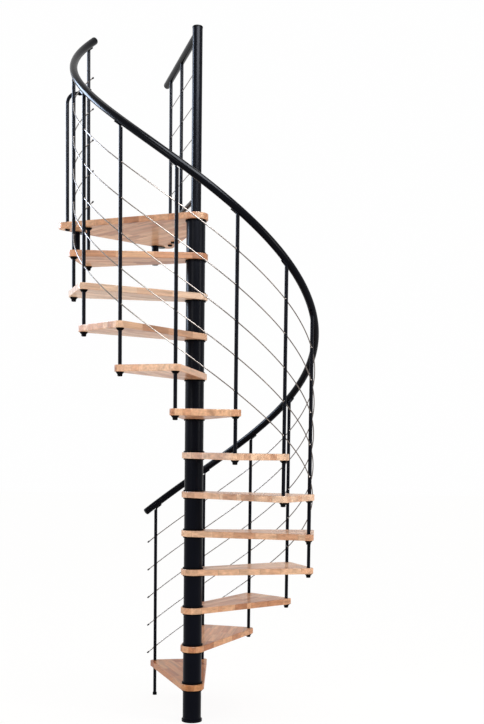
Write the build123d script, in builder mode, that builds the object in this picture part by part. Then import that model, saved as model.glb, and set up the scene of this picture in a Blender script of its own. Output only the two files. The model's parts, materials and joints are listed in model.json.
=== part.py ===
"""Spiral staircase: wedge treads stacked on a spacer column, a helical handrail and wire infill.

The column stands on the origin with +Z up, and the flight climbs clockwise seen from above.
Lengths are in millimetres and angles in degrees.
"""

import os
from math import atan2, cos, degrees, radians, sin, sqrt

from build123d import *

os.makedirs("parts", exist_ok=True)

# Stair layout
riser_count = 13
rise = 225.0
tread_angle = 26.1
first_baluster_angle = 110.6
baluster_circle_radius = 687.0

# Treads and platform
tread_thickness = 35.0
tread_nose_radius = 70.0
tread_corner_radius = 29.0
tread_edge_round = 3.0
platform_half_angle = 27.3
platform_corner_margin = 151.0
platform_corner_radius = 42.0

# Column
pole_radius = 28.5
pole_wall = 3.0
spacer_radius = 54.0
spacer_wall = 3.0
ring_radius = 60.0
ring_height = 8.0
ring_spigot_height = 10.0
flange_radius = 60.0
flange_height = 14.0
flange_socket_floor = 6.0

# Newel post above the platform
newel_joint_height = 316.0
newel_rise = 39.0
newel_sleeve_length = 60.0
newel_cap_height = 9.0
newel_cap_rim = 1.0
newel_cap_round = 4.0
newel_plug_length = 16.0

# Balusters with their collars and feet
baluster_radius = 10.0
collar_radius = 21.5
collar_rim = 3.0
collar_height = 13.0
collar_wall = 3.0
foot_height = 24.0
foot_socket_depth = 12.0
foot_round = 5.0
floor_foot_height = 16.0
floor_foot_base = 4.0

# Handrail
handrail_radius = 21.0
handrail_wall = 3.0
handrail_height = 1238.0
handrail_overhang = 62.0
handrail_cap_length = 10.0
handrail_cap_round = 8.0
handrail_plug_length = 14.0
saddle_length = 42.0
saddle_width = 18.0
saddle_thickness = 5.0
saddle_shift = 6.0
saddle_clearance = 0.6

# Infill wires
wire_count = 5
wire_radius = 2.5
lowest_wire_height = 316.0
top_wire_drop = 206.0
wire_overhang = 50.0
wire_cap_radius = 4.5
wire_cap_length = 14.0
wire_cap_depth = 10.0
wire_cap_clearance = 0.6

# Guard across the open side of the platform
guard_rail_drop = 18.0
guard_rail_overhang = 126.0
inner_guard_baluster_reach = 418.0
inner_guard_socket_depth = 18.0
outer_guard_baluster_inset = 96.0
fixing_nut_spacing = 97.0
guard_bar_radius = 13.0
guard_wire_overhang = 14.0

# Hoop that closes the gap beside the last baluster
hoop_drop = 248.0
hoop_leg_inset = 10.0
hoop_bend_radius = 52.0
hoop_clamp_radius = 14.0
hoop_clamp_length = 64.0
hoop_clamp_ring_wall = 6.0
hoop_clamp_height = 30.0

# Nuts under the platform
nut_radius = 14.0
nut_height = 9.0
nut_round = 3.0

# Brackets that fix the platform to the floor edge behind it
bracket_post_radius = 22.0
bracket_post_length = 122.0
bracket_post_round = 8.0
bracket_post_inset = 26.0
bracket_spacing = 600.0
bracket_plate_length = 100.0
bracket_plate_width = 50.0
bracket_plate_thickness = 6.0

# Room between pieces that slide together
slip_clearance = 0.3

# Worked out from the driving dimensions
last_baluster = riser_count - 1
platform_top = riser_count * rise
climb_per_degree = rise / tread_angle
climb_angle = degrees(atan2(rise, baluster_circle_radius * radians(tread_angle)))
wire_spacing = (handrail_height - top_wire_drop - lowest_wire_height) / (wire_count - 1)
wire_heights = [lowest_wire_height + index * wire_spacing for index in range(wire_count)]
baluster_hole_radius = baluster_radius + slip_clearance
pole_hole_radius = pole_radius + slip_clearance


def polar(radius, angle, height=0.0):
    """Point at a radius and an azimuth about the column axis."""
    return Vector(radius * cos(radians(angle)), radius * sin(radians(angle)), height)


def baluster_angle(index):
    """Azimuth of a baluster, counted from the foot of the flight."""
    return first_baluster_angle - index * tread_angle


def climb_plane(angle, height):
    """Plane across the climbing line: x points outward, y up and z along the climb."""
    ahead = polar(cos(radians(climb_angle)), angle - 90, sin(radians(climb_angle)))
    return Plane(
        origin=polar(baluster_circle_radius, angle, height),
        x_dir=polar(1, angle),
        z_dir=ahead,
    )


def climb_height(height, angle):
    """Height at an azimuth of a line that passes the first baluster at the given height."""
    return height + climb_per_degree * (first_baluster_angle - angle)


def climb_ends(overhang):
    """Azimuths where a line that overhangs the first and last balusters starts and ends."""
    lead = degrees(overhang / baluster_circle_radius)
    return baluster_angle(0) + lead, baluster_angle(last_baluster) - lead


def climb_path(height, overhang):
    """Climbing line of tangent arcs from baluster to baluster, and the planes across its two ends."""
    start, end = climb_ends(overhang)
    angles = [start] + [baluster_angle(index) for index in range(riser_count)] + [end]
    stations = [polar(baluster_circle_radius, angle, climb_height(height, angle)) for angle in angles]
    start_plane = climb_plane(start, stations[0].Z)
    with BuildLine() as path:
        bay = TangentArc(stations[0], stations[1], tangent=start_plane.z_dir)
        for station in stations[2:]:
            bay = TangentArc(bay @ 1, station, tangent=bay % 1)
    end_plane = Plane(origin=bay @ 1, x_dir=polar(1, end), z_dir=bay % 1)
    return path.line, start_plane, end_plane


def save(builder, name):
    """Label a finished piece and write it as a file of its own."""
    builder.part.label = name
    export_step(builder.part, f"parts/{name}.step")


platform_corner_reach = baluster_circle_radius + platform_corner_margin
platform_underside = platform_top - tread_thickness
platform_angle = baluster_angle(last_baluster) - platform_half_angle
guard_angle = platform_angle - platform_half_angle
outer_guard_baluster_reach = platform_corner_reach - outer_guard_baluster_inset
guard_rail_reach = outer_guard_baluster_reach + guard_rail_overhang
guard_rail_height = platform_top + handrail_height - rise - guard_rail_drop
newel_height = guard_rail_height - platform_top + newel_rise
hoop_leg_reach = platform_corner_reach - hoop_leg_inset
guard_line_heights = [platform_top + height - rise for height in wire_heights]
platform_edge_distance = (
    platform_corner_reach * cos(radians(platform_half_angle)) + platform_corner_radius
)

# Floor flange with a socket for the pole and a spigot inside the lowest spacer
with BuildPart() as floor_flange:
    with BuildSketch():
        Circle(flange_radius)
    extrude(amount=flange_height)
    with BuildSketch(Plane.XY.offset(flange_height)):
        Circle(spacer_radius - spacer_wall - slip_clearance)
    extrude(amount=ring_spigot_height)
    with BuildSketch(Plane.XY.offset(flange_socket_floor)):
        Circle(pole_hole_radius)
    extrude(amount=flange_height + ring_spigot_height, mode=Mode.SUBTRACT)
save(floor_flange, "floor_flange")

# Centre pole that carries the stack, and the newel post sleeved onto its top
newel_joint_level = platform_top + newel_joint_height
newel_top_level = platform_top + newel_height - newel_cap_height
with BuildPart() as center_pole:
    with BuildSketch(Plane.XY.offset(flange_socket_floor)):
        Circle(pole_radius)
        Circle(pole_radius - pole_wall, mode=Mode.SUBTRACT)
    extrude(amount=newel_joint_level - flange_socket_floor)
save(center_pole, "center_pole")

with BuildPart() as newel_post:
    with BuildSketch(Plane.XY.offset(newel_joint_level)):
        Circle(pole_radius)
    extrude(amount=newel_top_level - newel_joint_level)
    with BuildSketch(Plane.XY.offset(newel_joint_level)):
        Circle(pole_radius - pole_wall - slip_clearance)
    extrude(amount=-newel_sleeve_length)
    with BuildSketch(Plane.XY.offset(newel_joint_level - newel_sleeve_length)):
        Circle(pole_radius - pole_wall - slip_clearance - pole_wall)
    extrude(amount=newel_top_level - newel_joint_level + newel_sleeve_length, mode=Mode.SUBTRACT)
save(newel_post, "newel_post")

with BuildPart() as newel_cap:
    with BuildSketch(Plane.XY.offset(newel_top_level)):
        Circle(pole_radius + newel_cap_rim)
    extrude(amount=newel_cap_height)
    fillet(newel_cap.faces().sort_by(Axis.Z)[-1].edges(), radius=newel_cap_round)
    with BuildSketch(Plane.XY.offset(newel_top_level)):
        Circle(pole_radius - pole_wall - slip_clearance - pole_wall - slip_clearance)
    extrude(amount=-newel_plug_length)
save(newel_cap, "newel_cap")

# Column spacers, each held between two rings with spigots
spacer_floors = [flange_height] + [level * rise for level in range(1, riser_count)]
spacer_ceilings = [level * rise - tread_thickness for level in range(1, riser_count + 1)]
with BuildPart() as column_spacers:
    for index, (floor, ceiling) in enumerate(zip(spacer_floors, spacer_ceilings)):
        seat = floor if index == 0 else floor + ring_height
        with BuildSketch(Plane.XY.offset(seat)):
            Circle(spacer_radius)
            Circle(spacer_radius - spacer_wall, mode=Mode.SUBTRACT)
        extrude(amount=ceiling - ring_height - seat)
save(column_spacers, "column_spacers")

with BuildPart() as spacer_rings:
    ring_seats = [(floor, 1) for floor in spacer_floors[1:]]
    ring_seats += [(ceiling, -1) for ceiling in spacer_ceilings]
    for seat, inward in ring_seats:
        with BuildSketch(Plane.XY.offset(seat)):
            Circle(ring_radius)
            Circle(pole_hole_radius, mode=Mode.SUBTRACT)
        extrude(amount=inward * ring_height)
        with BuildSketch(Plane.XY.offset(seat + inward * ring_height)):
            Circle(spacer_radius - spacer_wall - slip_clearance)
            Circle(pole_hole_radius, mode=Mode.SUBTRACT)
        extrude(amount=inward * ring_spigot_height)
save(spacer_rings, "spacer_rings")

# Treads: a round nose about the pole drawn straight out to two round corners
for number in range(1, riser_count):
    middle_angle = baluster_angle(number) + tread_angle / 2
    tread_plane = Plane(origin=(0, 0, number * rise), x_dir=polar(1, middle_angle), z_dir=(0, 0, 1))
    corners = [polar(baluster_circle_radius, side * tread_angle / 2) for side in (-1, 1)]
    with BuildPart() as tread:
        with BuildSketch(tread_plane):
            Circle(tread_nose_radius)
            with Locations(*corners):
                Circle(tread_corner_radius)
            make_hull()
            Circle(pole_hole_radius, mode=Mode.SUBTRACT)
            with Locations(*corners):
                Circle(baluster_hole_radius, mode=Mode.SUBTRACT)
        extrude(amount=-tread_thickness)
        outlines = tread.faces().filter_by(Axis.Z)
        fillet([face.outer_wire().edges() for face in outlines], radius=tread_edge_round)
    save(tread, f"tread_{number:02d}")

# Platform: the same nose and corners at twice the spread, with a straight edge to the floor behind
with BuildPart() as platform:
    platform_plane = Plane(origin=(0, 0, platform_top), x_dir=polar(1, platform_angle), z_dir=(0, 0, 1))
    corners = [polar(platform_corner_reach, side * platform_half_angle) for side in (-1, 1)]
    passing_rods = [
        polar(hoop_leg_reach, platform_half_angle),
        polar(baluster_circle_radius, platform_half_angle),
        polar(outer_guard_baluster_reach, -platform_half_angle),
    ]
    with BuildSketch(platform_plane):
        Circle(tread_nose_radius)
        with Locations(*corners):
            Circle(platform_corner_radius)
        make_hull()
        Circle(pole_hole_radius, mode=Mode.SUBTRACT)
        with Locations(*passing_rods):
            Circle(baluster_hole_radius, mode=Mode.SUBTRACT)
    extrude(amount=-tread_thickness)
    outlines = platform.faces().filter_by(Axis.Z)
    fillet([face.outer_wire().edges() for face in outlines], radius=tread_edge_round)
    with BuildSketch(platform_plane):
        with Locations(polar(inner_guard_baluster_reach, -platform_half_angle)):
            Circle(baluster_hole_radius)
    extrude(amount=-inner_guard_socket_depth, mode=Mode.SUBTRACT)
save(platform, "platform")

# Balusters, cut to the slope of the handrail saddles and drilled along the climb for the wires
for index in range(riser_count):
    angle = baluster_angle(index)
    tread_underside = index * rise - tread_thickness
    base = floor_foot_base if index == 0 else tread_underside - foot_socket_depth
    top_plane = climb_plane(angle, climb_height(handrail_height, angle))
    saddle_seat = top_plane.origin - top_plane.y_dir * (handrail_radius + saddle_thickness)
    with BuildPart() as baluster:
        with BuildSketch(Plane(origin=polar(baluster_circle_radius, angle, base))):
            Circle(baluster_radius)
        extrude(amount=index * rise + handrail_height - base)
        split(bisect_by=Plane(origin=saddle_seat, z_dir=top_plane.y_dir), keep=Keep.BOTTOM)
        for height in wire_heights:
            with Locations(climb_plane(angle, climb_height(height, angle))):
                Hole(radius=wire_radius + slip_clearance)
    save(baluster, f"baluster_{index:02d}")

# Collars under the lower corner of each tread, where a baluster passes through
collar_seats = [
    polar(baluster_circle_radius, baluster_angle(index), (index + 1) * rise - tread_thickness)
    for index in range(riser_count)
]
with BuildPart() as baluster_collars:
    for seat in collar_seats:
        with BuildSketch(Plane(origin=seat, x_dir=(1, 0, 0), z_dir=(0, -1, 0))):
            with BuildLine():
                Polyline(
                    (baluster_hole_radius, 0),
                    (collar_radius, 0),
                    (collar_radius, -collar_rim),
                    (baluster_hole_radius + collar_wall, -collar_height),
                    (baluster_hole_radius, -collar_height),
                    close=True,
                )
            make_face()
        revolve(axis=Axis(origin=seat, direction=(0, 0, 1)))
save(baluster_collars, "baluster_collars")

# Feet that close the lower end of each baluster under the upper corner of its tread
foot_seats = [
    polar(baluster_circle_radius, baluster_angle(index), index * rise - tread_thickness)
    for index in range(1, riser_count)
]
guard_nut_seats = [
    polar(reach, guard_angle, platform_underside)
    for reach in (outer_guard_baluster_reach, outer_guard_baluster_reach - fixing_nut_spacing)
]
foot_body_radius = baluster_hole_radius + collar_wall
with BuildPart() as baluster_feet:
    for seat in foot_seats:
        with BuildSketch(Plane(origin=seat, x_dir=(1, 0, 0), z_dir=(0, -1, 0))):
            with BuildLine():
                rounding = RadiusArc(
                    (foot_body_radius, foot_round - foot_height),
                    (foot_body_radius - foot_round, -foot_height),
                    foot_round,
                )
                Polyline(
                    rounding @ 1,
                    (0, -foot_height),
                    (0, -foot_socket_depth),
                    (baluster_hole_radius, -foot_socket_depth),
                    (baluster_hole_radius, 0),
                    (collar_radius, 0),
                    (collar_radius, -collar_rim),
                    (foot_body_radius, -collar_height),
                    rounding @ 0,
                )
            make_face()
        revolve(axis=Axis(origin=seat, direction=(0, 0, 1)))
    for seat in guard_nut_seats:
        with BuildSketch(Plane(origin=seat)):
            Circle(nut_radius)
        extrude(amount=-nut_height)
        fillet(baluster_feet.faces(Select.LAST).sort_by(Axis.Z)[0].edges(), radius=nut_round)
    with BuildSketch(Plane(origin=guard_nut_seats[0])):
        Circle(baluster_hole_radius)
    extrude(amount=-nut_height / 2, mode=Mode.SUBTRACT)
    first_place = polar(baluster_circle_radius, baluster_angle(0))
    with BuildSketch(Plane(origin=first_place)):
        Circle(foot_body_radius)
    extrude(amount=floor_foot_height)
    with BuildSketch(Plane(origin=first_place + (0, 0, floor_foot_base))):
        Circle(baluster_hole_radius)
    extrude(amount=floor_foot_height, mode=Mode.SUBTRACT)
save(baluster_feet, "baluster_feet")

# Handrail tube climbing from baluster to baluster in tangent arcs, with a rounded plug in each end
handrail_path, handrail_start, handrail_end = climb_path(handrail_height, handrail_overhang)
with BuildPart() as handrail:
    with BuildSketch(handrail_start):
        Circle(handrail_radius)
        Circle(handrail_radius - handrail_wall, mode=Mode.SUBTRACT)
    sweep(path=handrail_path)
save(handrail, "handrail")

with BuildPart() as handrail_caps:
    guard_end = Plane(
        origin=polar(guard_rail_reach, guard_angle, guard_rail_height), z_dir=polar(1, guard_angle)
    )
    for cap_plane in (-handrail_start, handrail_end, guard_end):
        with BuildSketch(cap_plane):
            Circle(handrail_radius)
        extrude(amount=handrail_cap_length)
        outer_end = handrail_caps.faces(Select.LAST).sort_by(Axis(cap_plane.origin, cap_plane.z_dir))[-1]
        fillet(outer_end.edges(), radius=handrail_cap_round)
        with BuildSketch(cap_plane):
            Circle(handrail_radius - handrail_wall - slip_clearance)
        extrude(amount=-handrail_plug_length)
save(handrail_caps, "handrail_caps")

# Saddles between the baluster tops and the underside of the handrail
saddle_grip = sqrt(handrail_radius**2 - (saddle_width / 2) ** 2)
with BuildPart() as handrail_saddles:
    for index in range(riser_count):
        angle = baluster_angle(index)
        across = climb_plane(angle, climb_height(handrail_height, angle)).offset(saddle_shift)
        with BuildSketch(across):
            with Locations((0, -handrail_radius - saddle_thickness)):
                Rectangle(
                    saddle_width,
                    handrail_radius + saddle_thickness - saddle_grip,
                    align=(Align.CENTER, Align.MIN),
                )
            Circle(handrail_radius + saddle_clearance, mode=Mode.SUBTRACT)
        extrude(amount=saddle_length / 2, both=True)
save(handrail_saddles, "handrail_saddles")

# Infill wires from end to end through every baluster, with a cap on each end
wire_lines = [climb_path(height, wire_overhang) for height in wire_heights]
with BuildPart() as infill_wires:
    for wire_path, wire_start, wire_end in wire_lines:
        with BuildSketch(wire_start):
            Circle(wire_radius)
        sweep(path=wire_path)
save(infill_wires, "infill_wires")

with BuildPart() as wire_caps:
    for wire_path, wire_start, wire_end in wire_lines:
        for cap_plane in (-wire_start, wire_end):
            with BuildSketch(cap_plane.offset(-wire_cap_depth)):
                Circle(wire_cap_radius)
            extrude(amount=wire_cap_length)
            with BuildSketch(cap_plane.offset(-wire_cap_depth)):
                Circle(wire_radius + wire_cap_clearance)
            extrude(amount=wire_cap_depth, mode=Mode.SUBTRACT)
save(wire_caps, "wire_caps")

# Guard on the platform: top rail and lower bar set against the newel
guard_rods = [
    (guard_rail_height, handrail_radius, guard_rail_reach),
    (guard_line_heights[0], guard_bar_radius, outer_guard_baluster_reach - baluster_radius),
]
with BuildPart() as guard_rails:
    for height, radius, reach in guard_rods:
        with BuildSketch(Plane(origin=(0, 0, height), z_dir=polar(1, guard_angle))):
            Circle(radius)
        extrude(amount=reach)
    with BuildSketch(Plane.XY.offset(platform_top)):
        Circle(pole_radius)
    extrude(amount=newel_height, mode=Mode.SUBTRACT)
    with BuildSketch(guard_end):
        Circle(handrail_radius - handrail_wall)
    extrude(amount=-handrail_plug_length - slip_clearance, mode=Mode.SUBTRACT)
    with BuildSketch(Plane(origin=polar(inner_guard_baluster_reach, guard_angle, platform_top))):
        Circle(baluster_hole_radius)
    extrude(amount=guard_line_heights[0] - platform_top + guard_bar_radius, mode=Mode.SUBTRACT)
save(guard_rails, "guard_rails")

with BuildPart() as guard_balusters:
    guard_rod_bases = [
        (inner_guard_baluster_reach, platform_top - inner_guard_socket_depth),
        (outer_guard_baluster_reach, platform_underside - nut_height / 2),
    ]
    for reach, base in guard_rod_bases:
        with BuildSketch(Plane(origin=polar(reach, guard_angle, base))):
            Circle(baluster_radius)
        extrude(amount=guard_rail_height - base)
    with BuildSketch(Plane(origin=(0, 0, guard_rail_height), z_dir=polar(1, guard_angle))):
        Circle(handrail_radius)
    extrude(amount=guard_rail_reach, mode=Mode.SUBTRACT)
    for height in guard_line_heights[1:]:
        with BuildSketch(Plane(origin=(0, 0, height), z_dir=polar(1, guard_angle))):
            Circle(wire_radius + slip_clearance)
        extrude(amount=guard_rail_reach, mode=Mode.SUBTRACT)
save(guard_balusters, "guard_balusters")

with BuildPart() as guard_wires:
    for height in guard_line_heights[1:]:
        with BuildSketch(Plane(origin=(0, 0, height), z_dir=polar(1, guard_angle))):
            Circle(wire_radius)
        extrude(amount=outer_guard_baluster_reach + baluster_radius + guard_wire_overhang)
    with BuildSketch(Plane.XY.offset(platform_top)):
        Circle(pole_radius)
    extrude(amount=newel_height, mode=Mode.SUBTRACT)
save(guard_wires, "guard_wires")

# Hoop from the platform's corner up and over to the last baluster, with its clamp and nut
hoop_angle = baluster_angle(last_baluster)
hoop_level = guard_rail_height - hoop_drop
hoop_foot = polar(hoop_leg_reach, hoop_angle, platform_underside - nut_height / 2)
hoop_end_reach = baluster_circle_radius + baluster_radius + slip_clearance
with BuildPart() as landing_hoop:
    with BuildLine():
        FilletPolyline(
            hoop_foot,
            polar(hoop_leg_reach, hoop_angle, hoop_level),
            polar(hoop_end_reach, hoop_angle, hoop_level),
            radius=hoop_bend_radius,
        )
    with BuildSketch(Plane(origin=hoop_foot)):
        Circle(baluster_radius)
    sweep()
save(landing_hoop, "landing_hoop")

with BuildPart() as hoop_clamp:
    clamp_center = polar(baluster_circle_radius, hoop_angle, hoop_level)
    with BuildSketch(Plane(origin=clamp_center - (0, 0, hoop_clamp_height / 2))):
        Circle(baluster_hole_radius + hoop_clamp_ring_wall)
    extrude(amount=hoop_clamp_height)
    with BuildSketch(Plane(origin=clamp_center, z_dir=polar(1, hoop_angle))):
        Circle(hoop_clamp_radius)
    extrude(amount=hoop_clamp_length)
    with BuildSketch(Plane(origin=clamp_center, z_dir=polar(1, hoop_angle))):
        Circle(baluster_hole_radius)
    extrude(amount=hoop_clamp_length, mode=Mode.SUBTRACT)
    with BuildSketch(Plane(origin=clamp_center - (0, 0, hoop_clamp_height / 2))):
        Circle(baluster_hole_radius)
    extrude(amount=hoop_clamp_height, mode=Mode.SUBTRACT)
    nut_place = polar(hoop_leg_reach, hoop_angle, platform_underside)
    with BuildSketch(Plane(origin=nut_place)):
        Circle(nut_radius)
    extrude(amount=-nut_height)
    fillet(hoop_clamp.faces(Select.LAST).sort_by(Axis.Z)[0].edges(), radius=nut_round)
    with BuildSketch(Plane(origin=nut_place)):
        Circle(baluster_hole_radius)
    extrude(amount=-nut_height / 2, mode=Mode.SUBTRACT)
save(hoop_clamp, "hoop_clamp")

# Brackets under the platform's straight edge
with BuildPart() as platform_brackets:
    under_plane = Plane(
        origin=polar(0, 0, platform_underside), x_dir=polar(1, platform_angle), z_dir=(0, 0, 1)
    )
    for side in (-1, 1):
        place = (platform_edge_distance - bracket_post_inset, side * bracket_spacing / 2)
        plate_shift = (bracket_plate_length - bracket_plate_width) / 2
        with BuildSketch(under_plane):
            with Locations((place[0], place[1] - plate_shift)):
                SlotOverall(bracket_plate_length, bracket_plate_width, rotation=90)
        extrude(amount=-bracket_plate_thickness)
        with BuildSketch(under_plane):
            with Locations(place):
                Circle(bracket_post_radius)
        extrude(amount=-bracket_post_length)
        post_end = platform_brackets.faces(Select.LAST).sort_by(Axis.Z)[0]
        fillet(post_end.edges(), radius=bracket_post_round)
save(platform_brackets, "platform_brackets")
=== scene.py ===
"""Dresses the spiral staircase: lacquered beech, black powder coat, a black rail and steel wires.

Lengths are in metres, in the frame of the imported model: the column stands on the origin and +Z is up.
"""

import json
from math import radians

import bpy
import numpy as np
from mathutils import Matrix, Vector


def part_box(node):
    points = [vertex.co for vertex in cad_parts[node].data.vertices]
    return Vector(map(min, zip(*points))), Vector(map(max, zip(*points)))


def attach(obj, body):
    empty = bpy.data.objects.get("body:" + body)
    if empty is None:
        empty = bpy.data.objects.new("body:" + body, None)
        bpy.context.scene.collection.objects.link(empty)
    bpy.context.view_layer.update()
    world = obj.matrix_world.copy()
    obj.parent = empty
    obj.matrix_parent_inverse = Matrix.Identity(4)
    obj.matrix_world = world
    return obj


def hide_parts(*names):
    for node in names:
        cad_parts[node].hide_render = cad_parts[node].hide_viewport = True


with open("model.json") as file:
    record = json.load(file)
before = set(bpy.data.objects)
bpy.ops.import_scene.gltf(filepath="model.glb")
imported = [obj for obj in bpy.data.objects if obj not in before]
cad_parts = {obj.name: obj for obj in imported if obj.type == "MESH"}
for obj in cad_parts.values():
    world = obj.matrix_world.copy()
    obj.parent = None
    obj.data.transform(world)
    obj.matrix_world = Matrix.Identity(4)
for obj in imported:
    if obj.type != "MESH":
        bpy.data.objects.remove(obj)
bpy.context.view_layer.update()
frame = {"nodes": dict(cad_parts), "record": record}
nodes = frame["nodes"]

# Places read from the frame
baluster_names = sorted(name for name in nodes if name.startswith("baluster_") and name[-2:].isdigit())
tread_names = sorted(name for name in nodes if name.startswith("tread_"))
baluster_boxes = np.array([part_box(name) for name in baluster_names])
tread_boxes = np.array([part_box(name) for name in tread_names])
baluster_places = baluster_boxes.mean(axis=1)[:, :2]
baluster_angles = np.unwrap(np.arctan2(baluster_places[:, 1], baluster_places[:, 0]))
baluster_radius = (baluster_boxes[:, 1, 0] - baluster_boxes[:, 0, 0]).mean() / 2
circle_radius = np.hypot(baluster_places[:, 0], baluster_places[:, 1]).mean()
step_angle = (baluster_angles[0] - baluster_angles[-1]) / (len(baluster_names) - 1)
rise = tread_boxes[0, 1, 2]
climb_per_radian = rise / step_angle

# Handrail and wires on the lines of the solids; the wires show a millimetre thicker than the solid ones
handrail_radius = 0.021
handrail_height = 1.238
handrail_overhang = 0.062
wire_radius = 0.003
wire_heights = np.array([0.316, 0.495, 0.674, 0.853, 1.032])
wire_overhang = 0.050
ferrule_radius = 0.0050
ferrule_length = 0.0035
ferrule_round = 0.0012
ferrule_shoulder = ferrule_round / 3

# How finely the climbing pieces are divided, and the angle past which an edge shows as sharp
rail_rows_per_bay = 36
rail_columns = 40
wire_rows_per_bay = 20
wire_columns = 10
ferrule_columns = 14
crease_angle = radians(40.0)

# Wood: staves glued side by side, each made of short lengths joined end to end by fingers
stave_width = 0.041
stave_length = 0.215
finger_pitch = 0.009
finger_depth = 0.010
finger_slope = finger_depth / (finger_pitch / 2) / stave_length
stave_stagger = 7.0

# Wood: glue lines, their widths as shares of a stave's width and of a length
stave_line_width = 0.014
stave_line_darkness = 0.24
length_line_width = 0.003
length_line_darkness = 0.12

# Wood: plan of the boards, which turns the staves
tread_nose_radius = 0.070
tread_corner_radius = 0.029
nose_taper = np.arcsin((tread_nose_radius - tread_corner_radius) / circle_radius)
platform_half_angle = radians(27.3)

# Wood: dark, middle and light beech, how pale each board is from the lowest up, the painted shade that
# darkens the lowest board, and where boards differ
warm_beech = np.array([(0.42, 0.165, 0.07), (0.57, 0.27, 0.135), (0.70, 0.395, 0.22)])
pale_beech = np.array([(0.59, 0.33, 0.20), (0.69, 0.43, 0.28), (0.78, 0.54, 0.375)])
middle_tone_place = 0.3
# The first paleness, for the lowest board, holds painted shade besides its own tone: it darkens that board
# as the light is dimmer at the foot of the stair
board_paleness = (-0.6, -0.15, 0.2, 0.55, 0.6, 0.95, 0.65, 0.1, 0.4, 0.6, 1.4, 0.05)
platform_paleness = 0.1
# Painted shade: a factor that darkens every tone of the lowest board, standing in for the dimmer light at
# the foot of the stair
lowest_board_painted_shade = 0.82
platform_seed = 14.0
seed_shift_along = 3.7
seed_shift_staves = 17

# Wood: stretch and detail of the grain, and the range of noise that each turns into a range of shade
block_shift = 5.0
grain_stretch = (3.0, 70.0, 70.0)
grain_detail = 5.0
grain_fineness = 0.6
grain_noise = (0.3, 0.7)
grain_shade = (0.72, 1.18)
fleck_stretch = (110.0, 900.0, 900.0)
fleck_detail = 1.0
fleck_noise = (0.58, 0.72)
fleck_shade = (1.0, 0.80)
streak_stretch = (2.2, 24.0, 24.0)
streak_detail = 3.0
streak_noise = (0.50, 0.76)
streak_shade = (1.0, 0.66)

# Wood: gloss of the timber and of the lacquer over it
wood_rough = (0.46, 0.58)
wood_gloss = 0.2
lacquer_weight = 0.28
lacquer_rough = 0.15
grain_relief = 0.10
grain_relief_depth = 0.0005

# Black finishes: two near blacks, range of roughness, gloss, and scale and strength of the orange peel
powder_coat = {
    "dark": (0.0006, 0.0010, 0.0034),
    "light": (0.0014, 0.0020, 0.0058),
    "rough": (0.27, 0.34),
    "gloss": 0.06,
    "peel_scale": 620.0,
    "peel_strength": 0.006,
}
rail_sleeve = {
    "dark": (0.0008, 0.0010, 0.0024),
    "light": (0.0014, 0.0018, 0.0040),
    "rough": (0.20, 0.26),
    "gloss": 0.055,
    "peel_scale": 260.0,
    "peel_strength": 0.002,
}
moulded_plastic = {
    "dark": (0.0008, 0.0009, 0.0012),
    "light": (0.0018, 0.0019, 0.0024),
    "rough": (0.42, 0.52),
    "gloss": 0.035,
    "peel_scale": 900.0,
    "peel_strength": 0.03,
}
cloud_scale = 9.0
cloud_detail = 4.0
peel_detail = 2.0
peel_depth = 0.0004

# Wire
wire_dark = (0.115, 0.096, 0.084)
wire_light = (0.20, 0.175, 0.155)
wire_rough = (0.24, 0.32)
wire_metallic = 0.9
wire_streak_scale = 60.0
wire_streak_detail = 3.0

# Camera, as worked out from the photograph
frame_height = 724
sensor_height = 36.0
focal_pixels = 1027.69
center_row = 522.0
camera_distance = 5.95527
camera_height = 1.60332
camera_pitch = radians(-4.116)
camera_yaw = radians(2.712)
camera_roll = radians(0.685)
camera_reach = 200.0

# Studio: the floor, and the light of the surround from below and from above, and as it is seen
floor_span = 60.0
floor_white = (0.95, 0.92, 0.87, 1.0)
floor_rough = 0.9
floor_white_share = 0.92
surround_white = (1.0, 1.0, 1.0, 1.0)
surround_below = 0.48
surround_above = 1.2
surround_seen = 0.995

# Lamps: place, width and height, watts, colour, and whether it shows in highlights alone
lamp_target = (0.0, 0.0, 2.0)
lamp_plan = {
    "left_softbox": ((-2.6, -3.4, 3.0), (1.2, 2.0), 46.0, (1.0, 1.0, 1.0), False),
    "right_softbox": ((3.8, -2.0, 2.8), (1.2, 2.0), 65.0, (1.0, 0.98, 0.95), False),
    "key_gloss": ((0.9, -2.9, 5.6), (3.4, 2.6), 1000.0, (0.90, 0.94, 1.0), True),
    "left_gloss": ((-4.0, 1.6, 4.1), (1.7, 2.6), 560.0, (0.62, 0.76, 1.0), True),
    "overhead_gloss": ((-0.5, 0.3, 7.0), (1.6, 1.6), 24.0, (1.0, 1.0, 1.0), True),
}


def unit(vectors):
    """Vectors divided by their own lengths."""
    return vectors / np.linalg.norm(vectors, axis=-1, keepdims=True)


def climbing_line(height, overhang, rows_per_bay):
    """Points of a helix, with the outward direction at each.

    The azimuth runs evenly from just before the first baluster to just past the last, and the height
    grows with the azimuth passed.
    """
    lead = overhang / circle_radius
    count = rows_per_bay * len(baluster_names)
    angle = np.linspace(baluster_angles[0] + lead, baluster_angles[-1] - lead, count)
    outward = np.stack([np.cos(angle), np.sin(angle), np.zeros(count)], axis=-1)
    points = outward * circle_radius
    points[:, 2] = height + climb_per_radian * (baluster_angles[0] - angle)
    return points, outward


def carried_circle(points, sideways, radius, columns):
    """A circle carried along a line.

    Each row is the point plus the radius times the cosine of the turn along the sideways direction and
    the sine along the direction square to it and to the line.
    """
    ahead = unit(np.gradient(points, axis=0))
    upward = unit(np.cross(sideways, ahead))
    turn = np.linspace(0, 2 * np.pi, columns, endpoint=False)[None, :, None]
    return points[:, None] + radius * (np.cos(turn) * sideways[:, None] + np.sin(turn) * upward[:, None])


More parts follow.
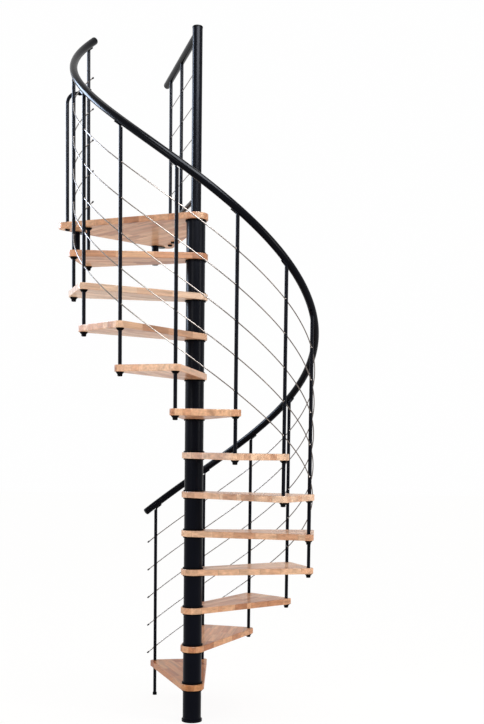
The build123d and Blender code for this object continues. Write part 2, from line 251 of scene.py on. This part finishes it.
def turned_profile(profile, places, axes, columns):
    """A profile of radius and distance turned about an axis at each place.

    A point is the place plus the distance along the axis plus the radius times the cosine and sine of
    the turn along two directions square to the axis, the first of them level. No axis is upright.
    """
    axes = unit(axes)
    level = unit(np.stack([-axes[:, 1], axes[:, 0], np.zeros(len(axes))], axis=-1))
    square = np.cross(axes, level)
    turn = np.linspace(0, 2 * np.pi, columns, endpoint=False)
    ring = np.cos(turn)[None, :, None] * level[:, None] + np.sin(turn)[None, :, None] * square[:, None]
    radius = profile[None, :, 0, None, None]
    along = profile[None, :, 1, None, None]
    return places[:, None, None] + along * axes[:, None, None] + radius * ring[:, None]


def ring_stack(name, grids, material):
    """Makes one mesh of stacks of rings.

    Neighbouring rows are joined by quads that wrap round, and the first and last rows are closed by a
    fan about their middle. The array holds copies, rows, columns and coordinates.
    """
    copies, rows, columns, _ = grids.shape
    middles = np.stack([grids[:, 0].mean(axis=1), grids[:, -1].mean(axis=1)], axis=1)
    vertices = np.concatenate([grids.reshape(copies, -1, 3), middles], axis=1)
    row = np.arange(rows - 1)[:, None] * columns
    column = np.arange(columns)[None, :]
    after = (column + 1) % columns
    quads = np.stack([row + column, row + after, row + columns + after, row + columns + column], axis=-1)
    low_middle = np.full(columns, rows * columns)
    top_row = (rows - 1) * columns
    low_fan = np.stack([after[0], column[0], low_middle], axis=-1)
    high_fan = np.stack([top_row + column[0], top_row + after[0], low_middle + 1], axis=-1)
    shift = np.arange(copies)[:, None, None] * vertices.shape[1]
    quad_faces = (quads.reshape(1, -1, 4) + shift).reshape(-1, 4)
    fan_faces = (np.concatenate([low_fan, high_fan])[None] + shift).reshape(-1, 3)
    mesh = bpy.data.meshes.new(name)
    mesh.from_pydata(vertices.reshape(-1, 3).tolist(), [], quad_faces.tolist() + fan_faces.tolist())
    mesh.shade_smooth()
    mesh.set_sharp_from_angle(angle=crease_angle)
    mesh.materials.append(material)
    piece = bpy.data.objects.new(name, mesh)
    bpy.context.scene.collection.objects.link(piece)
    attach(piece, "root")
    return piece


def add_node(tree, kind, settings=None, **inputs):
    """Adds a node, sets its properties, and sets or links its inputs by name, or by place as in i0."""
    node = tree.nodes.new(kind)
    for key, value in (settings or {}).items():
        setattr(node, key, value)
    for key, value in inputs.items():
        place = int(key[1:]) if key[0] == "i" and key[1:].isdigit() else key.replace("_", " ")
        if isinstance(value, bpy.types.NodeSocket):
            tree.links.new(value, node.inputs[place])
        else:
            node.inputs[place].default_value = value
    return node


def reckon(tree, operation, first, second):
    """One arithmetic step between two sockets or numbers."""
    return add_node(tree, "ShaderNodeMath", {"operation": operation}, i0=first, i1=second).outputs[0]


def spread(tree, value, results, given=(0.0, 1.0)):
    """A value carried in a straight line from the given range to the range of results, and held there."""
    ends = {"From_Min": given[0], "From_Max": given[1], "To_Min": results[0], "To_Max": results[1]}
    return add_node(tree, "ShaderNodeMapRange", Value=value, **ends).outputs[0]


def two_tones(tree, share, dark, light):
    """A colour between a dark and a light tone, which are the mixing node's sockets 6 and 7."""
    ends = {"i6": (*dark, 1.0), "i7": (*light, 1.0)}
    return add_node(tree, "ShaderNodeMix", {"data_type": "RGBA"}, Factor=share, **ends).outputs[2]


def seen_rays(tree):
    """One where a ray comes from the camera, from a reflection or through glass, and nought elsewhere."""
    rays = tree.nodes.new("ShaderNodeLightPath").outputs
    seen = reckon(tree, "MAXIMUM", rays["Is Camera Ray"], rays["Is Glossy Ray"])
    return reckon(tree, "MAXIMUM", seen, rays["Is Transmission Ray"])


def blank_material(name):
    """A material with its shader, and the object coordinates of what wears it."""
    material = bpy.data.materials.new(name)
    material.use_nodes = True
    tree = material.node_tree
    shader = tree.nodes["Principled BSDF"]
    place = tree.nodes.new("ShaderNodeTexCoord").outputs["Object"]
    return material, tree, shader, place


def black_finish(name, dark, light, rough, gloss, peel_scale, peel_strength):
    """Powder coat or moulded plastic: two near blacks clouded together over a fine orange-peel bump."""
    material, tree, shader, place = blank_material(name)
    clouds = add_node(tree, "ShaderNodeTexNoise", Vector=place, Scale=cloud_scale, Detail=cloud_detail)
    tree.links.new(two_tones(tree, clouds.outputs["Fac"], dark, light), shader.inputs["Base Color"])
    tree.links.new(spread(tree, clouds.outputs["Fac"], rough), shader.inputs["Roughness"])
    shader.inputs["Specular IOR Level"].default_value = gloss
    peel = add_node(tree, "ShaderNodeTexNoise", Vector=place, Scale=peel_scale, Detail=peel_detail)
    peel_height = peel.outputs["Fac"]
    bump = add_node(tree, "ShaderNodeBump", Strength=peel_strength, Distance=peel_depth, Height=peel_height)
    tree.links.new(bump.outputs[0], shader.inputs["Normal"])
    return material


def drawn_wire(name):
    """Stainless wire: a warm grey metal with faint cloudy streaks in its colour and its gloss."""
    material, tree, shader, place = blank_material(name)
    fineness = {"Scale": wire_streak_scale, "Detail": wire_streak_detail}
    streaks = add_node(tree, "ShaderNodeTexNoise", Vector=place, **fineness).outputs["Fac"]
    tree.links.new(two_tones(tree, streaks, wire_dark, wire_light), shader.inputs["Base Color"])
    tree.links.new(spread(tree, streaks, wire_rough), shader.inputs["Roughness"])
    shader.inputs["Metallic"].default_value = wire_metallic
    return material


def board_tones(paleness):
    """Dark, middle and light tone of one board, between warm and pale beech."""
    return (1 - paleness) * warm_beech + paleness * pale_beech


def glue_line(tree, place, width, darkness):
    """One, less the darkness wherever the place is nearer than the width to a whole number."""
    distance = reckon(tree, "PINGPONG", place, 0.5)
    line = reckon(tree, "LESS_THAN", distance, width)
    return reckon(tree, "SUBTRACT", 1.0, reckon(tree, "MULTIPLY", line, darkness))


def stretched_noise(tree, laid, stretch, shift, **detail):
    """Noise drawn out along the staves: the laid place is stretched, then shifted from block to block."""
    place = add_node(tree, "ShaderNodeMapping", Vector=laid, Scale=stretch).outputs[0]
    if shift is not None:
        place = add_node(tree, "ShaderNodeVectorMath", i0=place, i1=shift).outputs[0]
    return add_node(tree, "ShaderNodeTexNoise", Vector=place, Scale=1.0, **detail).outputs["Fac"]


def beech(name, turn, edge_distance, seed, tones):
    """Lacquered finger-jointed beech for one tread or the platform.

    The object coordinates are turned until x runs along the staves and y across them from the leading
    edge. Whole-number parts of x and y give each length of each stave its own tone, and noise stretched
    along x gives the grain, the flecks and the darker streaks.
    """
    material, tree, shader, place = blank_material(name)
    start = (seed * seed_shift_along, edge_distance + seed * stave_width * seed_shift_staves, 0.0)
    turned = (0.0, 0.0, -turn)
    laid = add_node(tree, "ShaderNodeMapping", Vector=place, Location=start, Rotation=turned).outputs[0]
    along, across, _ = add_node(tree, "ShaderNodeSeparateXYZ", Vector=laid).outputs
    # Number of the stave, and of the length in it; each stave starts elsewhere, and ends in fingers
    stave_place = reckon(tree, "DIVIDE", across, stave_width)
    stave = reckon(tree, "FLOOR", stave_place, 0.0)
    draw = add_node(tree, "ShaderNodeTexWhiteNoise", {"noise_dimensions": "1D"}, W=stave)
    stave_luck = draw.outputs["Value"]
    fingers = reckon(tree, "PINGPONG", across, finger_pitch / 2)
    length_place = reckon(tree, "DIVIDE", along, stave_length)
    length_place = reckon(tree, "ADD", length_place, reckon(tree, "MULTIPLY", stave_luck, stave_stagger))
    length_place = reckon(tree, "ADD", length_place, reckon(tree, "MULTIPLY", fingers, finger_slope))
    length = reckon(tree, "FLOOR", length_place, 0.0)
    # Tone of each block
    block = add_node(tree, "ShaderNodeCombineXYZ", X=stave, Y=length, Z=seed).outputs[0]
    luck = add_node(tree, "ShaderNodeTexWhiteNoise", {"noise_dimensions": "3D"}, Vector=block)
    tone = add_node(tree, "ShaderNodeValToRGB", Fac=luck.outputs["Value"])
    steps = tone.color_ramp.elements
    steps[0].color = (*tones[0], 1.0)
    steps[1].color = (*tones[2], 1.0)
    steps.new(middle_tone_place).color = (*tones[1], 1.0)
    # Grain, flecks and streaks, and the glue lines between staves and between lengths
    shifted = {"i0": luck.outputs["Color"], "Scale": block_shift}
    shift = add_node(tree, "ShaderNodeVectorMath", {"operation": "SCALE"}, **shifted).outputs[0]
    grain = stretched_noise(tree, laid, grain_stretch, shift, Detail=grain_detail, Roughness=grain_fineness)
    flecks = stretched_noise(tree, laid, fleck_stretch, None, Detail=fleck_detail)
    streaks = stretched_noise(tree, laid, streak_stretch, shift, Detail=streak_detail)
    grain_dark = spread(tree, grain, grain_shade, grain_noise)
    fleck_dark = spread(tree, flecks, fleck_shade, fleck_noise)
    streak_dark = spread(tree, streaks, streak_shade, streak_noise)
    stave_dark = glue_line(tree, stave_place, stave_line_width, stave_line_darkness)
    length_dark = glue_line(tree, length_place, length_line_width, length_line_darkness)
    shade = reckon(tree, "MULTIPLY", grain_dark, fleck_dark)
    shade = reckon(tree, "MULTIPLY", shade, streak_dark)
    shade = reckon(tree, "MULTIPLY", shade, reckon(tree, "MULTIPLY", stave_dark, length_dark))
    color = add_node(tree, "ShaderNodeVectorMath", {"operation": "SCALE"}, i0=tone.outputs[0], Scale=shade)
    tree.links.new(color.outputs[0], shader.inputs["Base Color"])
    # Gloss and relief
    tree.links.new(spread(tree, grain, wood_rough), shader.inputs["Roughness"])
    shader.inputs["Specular IOR Level"].default_value = wood_gloss
    shader.inputs["Coat Weight"].default_value = lacquer_weight
    shader.inputs["Coat Roughness"].default_value = lacquer_rough
    depth = {"Strength": grain_relief, "Distance": grain_relief_depth}
    relief = add_node(tree, "ShaderNodeBump", Height=shade, **depth)
    tree.links.new(relief.outputs[0], shader.inputs["Normal"])
    return material


def finish_node(name, material):
    """Gives a solid its finish."""
    mesh = nodes[name].data
    mesh.materials.clear()
    mesh.materials.append(material)


def soft_lamp(name, place, size, power, color, gloss_only):
    """A rectangular soft lamp that faces the middle of the stair; some show only as highlights."""
    light = bpy.data.lights.new(name, "AREA")
    light.shape = "RECTANGLE"
    light.size, light.size_y = size
    light.energy = power
    light.color = color
    lamp = bpy.data.objects.new(name, light)
    lamp.visible_camera = False
    lamp.visible_diffuse = not gloss_only
    back = unit(np.array(place) - np.array(lamp_target))
    right = unit(np.cross((0.0, 0.0, 1.0), back))
    turn = np.eye(4)
    turn[:3, 0] = right
    turn[:3, 1] = np.cross(back, right)
    turn[:3, 2] = back
    turn[:3, 3] = place
    lamp.matrix_world = Matrix(turn.tolist())
    bpy.context.scene.collection.objects.link(lamp)


# Finishes of the metal and plastic solids
steel_black = black_finish("satin_black_powder_coat", **powder_coat)
rail_black = black_finish("black_rail_sleeve", **rail_sleeve)
plastic_black = black_finish("moulded_black_plastic", **moulded_plastic)
wire_steel = drawn_wire("drawn_stainless_wire")
slot_finishes = {
    "black_steel": steel_black,
    "black_rail": rail_black,
    "black_plastic": plastic_black,
    "stainless": wire_steel,
}
for entry in frame["record"]["subparts"]:
    finish = slot_finishes.get(entry["material_slot"])
    if finish:
        finish_node(entry["node"], finish)

# Beech on the treads, with the staves along each leading edge, and on the platform along its middle
for number, name in enumerate(tread_names):
    edge_angle = baluster_angles[number] - nose_taper
    tones = board_tones(board_paleness[number])
    # Painted shade: the lowest tread's tones are darkened, as the light is dimmer at the foot of the stair
    if number == 0:
        tones = tones * lowest_board_painted_shade
    finish_node(name, beech(f"beech_{name}", edge_angle, tread_nose_radius, number + 1.0, tones))
platform_middle = baluster_angles[-1] - platform_half_angle
platform_tones = board_tones(platform_paleness)
finish_node("platform", beech("beech_platform", platform_middle, 0.0, platform_seed, platform_tones))

# Handrail as one smooth climbing tube
rail_points, rail_outward = climbing_line(handrail_height, handrail_overhang, rail_rows_per_bay)
rail_grid = carried_circle(rail_points, rail_outward, handrail_radius, rail_columns)
rail = ring_stack("climbing_handrail", rail_grid[None], rail_black)
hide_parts("handrail")

# Wires as smooth climbing lines
wire_grids = []
for height in wire_heights:
    wire_points, wire_outward = climbing_line(height, wire_overhang, wire_rows_per_bay)
    wire_grids.append(carried_circle(wire_points, wire_outward, wire_radius, wire_columns))
wires = ring_stack("climbing_wires", np.array(wire_grids), wire_steel)
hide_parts("infill_wires")

# Ferrules where each wire enters and leaves a baluster
angle_grid, height_grid = np.meshgrid(baluster_angles, wire_heights, indexing="ij")
climb_grid = np.full_like(angle_grid, climb_per_radian / circle_radius)
ferrule_ahead = np.stack([np.sin(angle_grid), -np.cos(angle_grid), climb_grid], axis=-1)
ferrule_ahead = unit(ferrule_ahead).reshape(-1, 3)
ferrule_outward = np.stack([np.cos(angle_grid), np.sin(angle_grid), np.zeros_like(angle_grid)], axis=-1)
ferrule_places = ferrule_outward * circle_radius
ferrule_places[..., 2] = height_grid + climb_per_radian * (baluster_angles[0] - angle_grid)
ferrule_places = ferrule_places.reshape(-1, 3)
level_run = np.hypot(ferrule_ahead[:, 0], ferrule_ahead[:, 1]).mean()
ferrule_start = baluster_radius / level_run - ferrule_length / 2
ferrule_profile = np.array([
    (ferrule_radius, 0.0),
    (ferrule_radius, ferrule_length - ferrule_round),
    (ferrule_radius - ferrule_shoulder, ferrule_length - ferrule_shoulder),
    (ferrule_radius - ferrule_round, ferrule_length),
])
ferrule_sides = []
for side in (-1.0, 1.0):
    seats = ferrule_places + side * ferrule_ahead * ferrule_start
    ferrule_sides.append(turned_profile(ferrule_profile, seats, side * ferrule_ahead, ferrule_columns))
ring_stack("wire_ferrules", np.concatenate(ferrule_sides), wire_steel)

# Floor that shows white, yet keeps the shadow of the stair
half = floor_span / 2
floor_corners = [(-half, -half, 0), (half, -half, 0), (half, half, 0), (-half, half, 0)]
floor_mesh = bpy.data.meshes.new("studio_floor")
floor_mesh.from_pydata(floor_corners, [], [(0, 1, 2, 3)])
floor = bpy.data.objects.new("studio_floor", floor_mesh)
bpy.context.scene.collection.objects.link(floor)
floor_material = bpy.data.materials.new("pale_floor")
floor_material.use_nodes = True
floor_tree = floor_material.node_tree
floor_shader = floor_tree.nodes["Principled BSDF"]
floor_shader.inputs["Base Color"].default_value = floor_white
floor_shader.inputs["Roughness"].default_value = floor_rough
floor_shader.inputs["Specular IOR Level"].default_value = 0.0
floor_glow = add_node(floor_tree, "ShaderNodeEmission", Strength=1.0)
floor_glow_share = reckon(floor_tree, "MULTIPLY", seen_rays(floor_tree), floor_white_share)
floor_sides = {"i1": floor_shader.outputs[0], "i2": floor_glow.outputs[0]}
floor_mix = add_node(floor_tree, "ShaderNodeMixShader", Fac=floor_glow_share, **floor_sides)
floor_tree.links.new(floor_mix.outputs[0], floor_tree.nodes["Material Output"].inputs["Surface"])
floor_mesh.materials.append(floor_material)

# Surround that is seen white and lights matt surfaces more from above than from below
world = bpy.data.worlds.new("white_studio")
world.use_nodes = True
bpy.context.scene.world = world
world_tree = world.node_tree
world_seen = seen_rays(world_tree)
world_place = world_tree.nodes.new("ShaderNodeTexCoord").outputs["Generated"]
world_height = add_node(world_tree, "ShaderNodeSeparateXYZ", Vector=world_place).outputs["Z"]
world_soft = spread(world_tree, world_height, (surround_below, surround_above))
world_level = spread(world_tree, world_seen, (world_soft, surround_seen))
world_back = world_tree.nodes["Background"]
world_back.inputs["Color"].default_value = surround_white
world_tree.links.new(world_level, world_back.inputs["Strength"])

# Lamps
for lamp_name, lamp_values in lamp_plan.items():
    soft_lamp(lamp_name, *lamp_values)

# Camera
ahead = np.array([
    np.sin(camera_yaw) * np.cos(camera_pitch),
    np.cos(camera_yaw) * np.cos(camera_pitch),
    np.sin(camera_pitch),
])
level_right = np.array([np.cos(camera_yaw), -np.sin(camera_yaw), 0.0])
level_up = np.cross(level_right, ahead)
camera_matrix = np.eye(4)
camera_matrix[:3, 0] = level_right * np.cos(camera_roll) + level_up * np.sin(camera_roll)
camera_matrix[:3, 1] = level_up * np.cos(camera_roll) - level_right * np.sin(camera_roll)
camera_matrix[:3, 2] = -ahead
camera_matrix[:3, 3] = (0.0, -camera_distance, camera_height)
camera_data = bpy.data.cameras.new("photo_camera")
camera_data.sensor_fit = "VERTICAL"
camera_data.sensor_height = sensor_height
camera_data.lens = focal_pixels / frame_height * sensor_height
camera_data.shift_y = (center_row - frame_height / 2) / frame_height
camera_data.clip_end = camera_reach
camera = bpy.data.objects.new("photo_camera", camera_data)
camera.matrix_world = Matrix(camera_matrix.tolist())
bpy.context.scene.collection.objects.link(camera)
bpy.context.scene.camera = camera
bpy.context.scene.view_settings.view_transform = "Standard"
